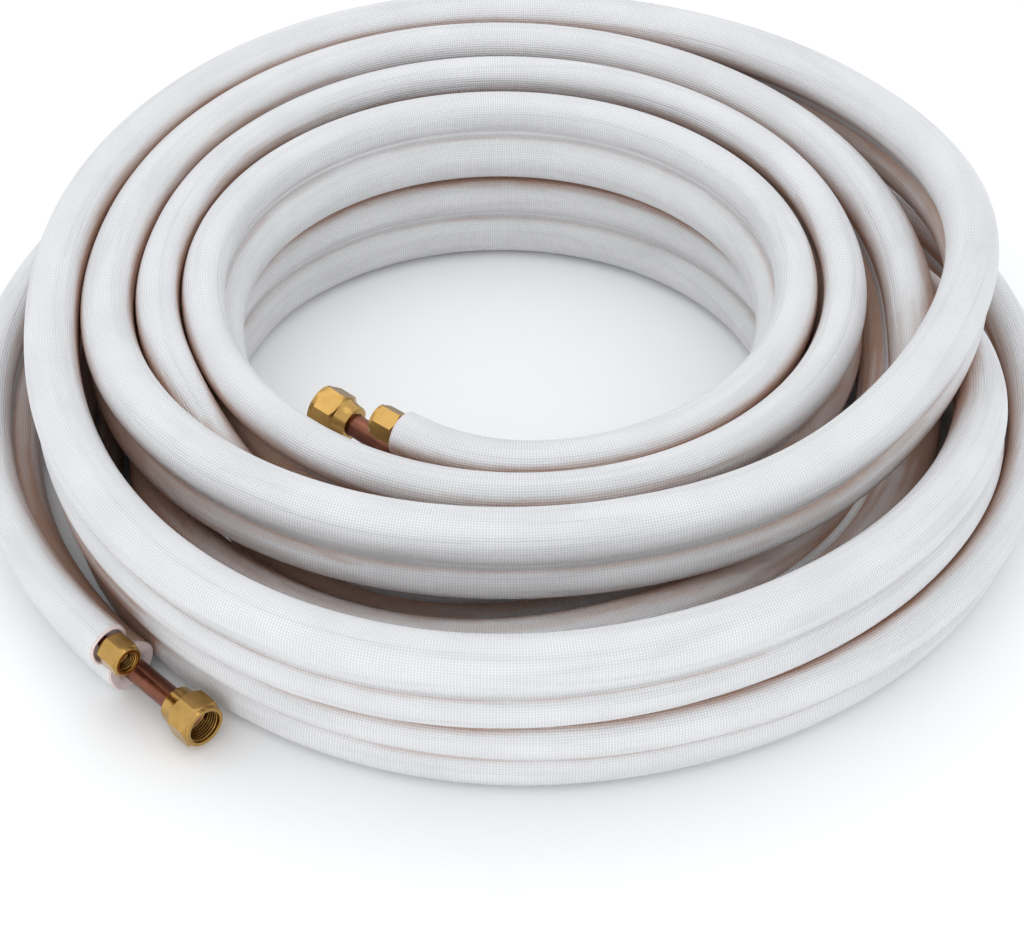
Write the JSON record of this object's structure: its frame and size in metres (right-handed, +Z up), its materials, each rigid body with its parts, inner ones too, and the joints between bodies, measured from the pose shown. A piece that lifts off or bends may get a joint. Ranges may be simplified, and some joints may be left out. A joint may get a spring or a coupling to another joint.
{
  "type": "refrigerant line set",
  "caption": "Coil of paired soft copper refrigerant tubes in white foam sleeves, with a brass flare nut on every tube end.",
  "frame": {"origin": "middle of the bounding box on the floor, close to the axis of the coil", "axes": "+Z up along the axis of the coil, +Y away from the viewer of the picture, +X to their right"},
  "size_m": [0.6132, 0.6256, 0.134],
  "materials": {
    "foam_film": "white embossed plastic film over soft foam",
    "copper": "soft drawn copper, dull",
    "brass": "machined brass"
  },
  "bodies": {
    "coil": {"liquid_line_tube": "copper", "liquid_line_insulation": "foam_film", "suction_line_tube": "copper", "suction_line_insulation": "foam_film"},
    "liquid_inner_end_nut": {"liquid_flare_nut_inner_end": "brass"},
    "liquid_outer_end_nut": {"liquid_flare_nut_outer_end": "brass"},
    "suction_inner_end_nut": {"suction_flare_nut_inner_end": "brass"},
    "suction_outer_end_nut": {"suction_flare_nut_outer_end": "brass"}
  },
  "joints": [
    {"name": "liquid_inner_end_nut_spin", "type": "hinge", "parent": "coil", "child": "liquid_inner_end_nut", "pos_m": [-0.06433, -0.12676, 0.10088], "axis": [-0.8158, 0.5684, 0.1069], "continuous": true},
    {"name": "liquid_outer_end_nut_spin", "type": "hinge", "parent": "coil", "child": "liquid_outer_end_nut", "pos_m": [-0.20063, -0.23564, 0.03819], "axis": [0.6905, -0.7233, -0.0033], "continuous": true},
    {"name": "suction_inner_end_nut_spin", "type": "hinge", "parent": "coil", "child": "suction_inner_end_nut", "pos_m": [-0.09373, -0.09367, 0.08064], "axis": [-0.7864, 0.6056, 0.1218], "continuous": true},
    {"name": "suction_outer_end_nut_spin", "type": "hinge", "parent": "coil", "child": "suction_outer_end_nut", "pos_m": [-0.16402, -0.25588, 0.01459], "axis": [0.6911, -0.7227, -0.0006], "continuous": true}
  ]
}
